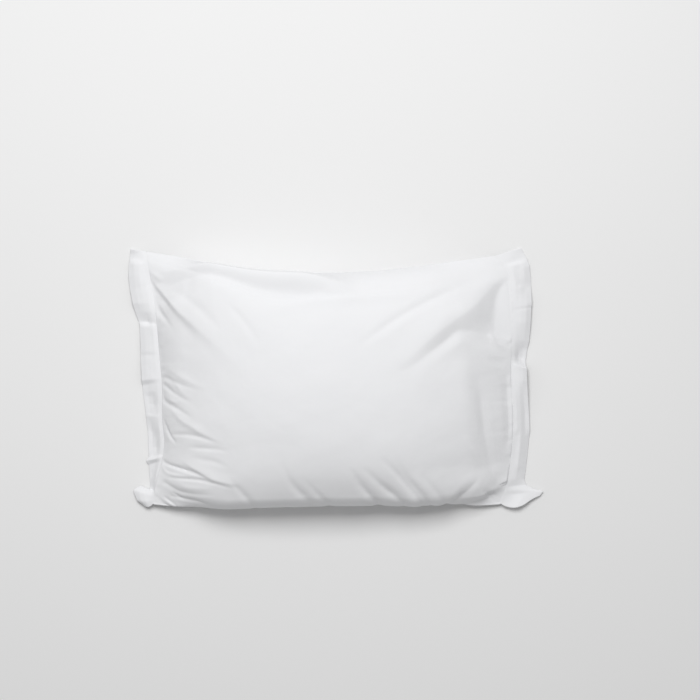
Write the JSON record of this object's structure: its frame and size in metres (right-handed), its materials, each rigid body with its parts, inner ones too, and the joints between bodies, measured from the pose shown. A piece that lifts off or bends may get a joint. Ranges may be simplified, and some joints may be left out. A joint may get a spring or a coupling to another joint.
{
  "type": "filled pillowcase",
  "caption": "Rectangular white pillowcase with its filling, lying on its back, with a flat double-layer border down each short side.",
  "frame": {"origin": "under the middle of the bounding box, on the surface that the pillow lies on", "axes": "+X along the length, +Y from the bottom edge to the top edge, +Z out of the face"},
  "size_m": [0.7624, 0.4791, 0.1314],
  "materials": {
    "cotton_bag": "matt, close plain weave, with a faint sheen",
    "cotton_border": "matt, close plain weave, two layers pressed flat, with pressed creases"
  },
  "bodies": {
    "root": {"filled_bag": "cotton_bag", "border_left": "cotton_border", "border_right": "cotton_border"}
  },
  "joints": []
}
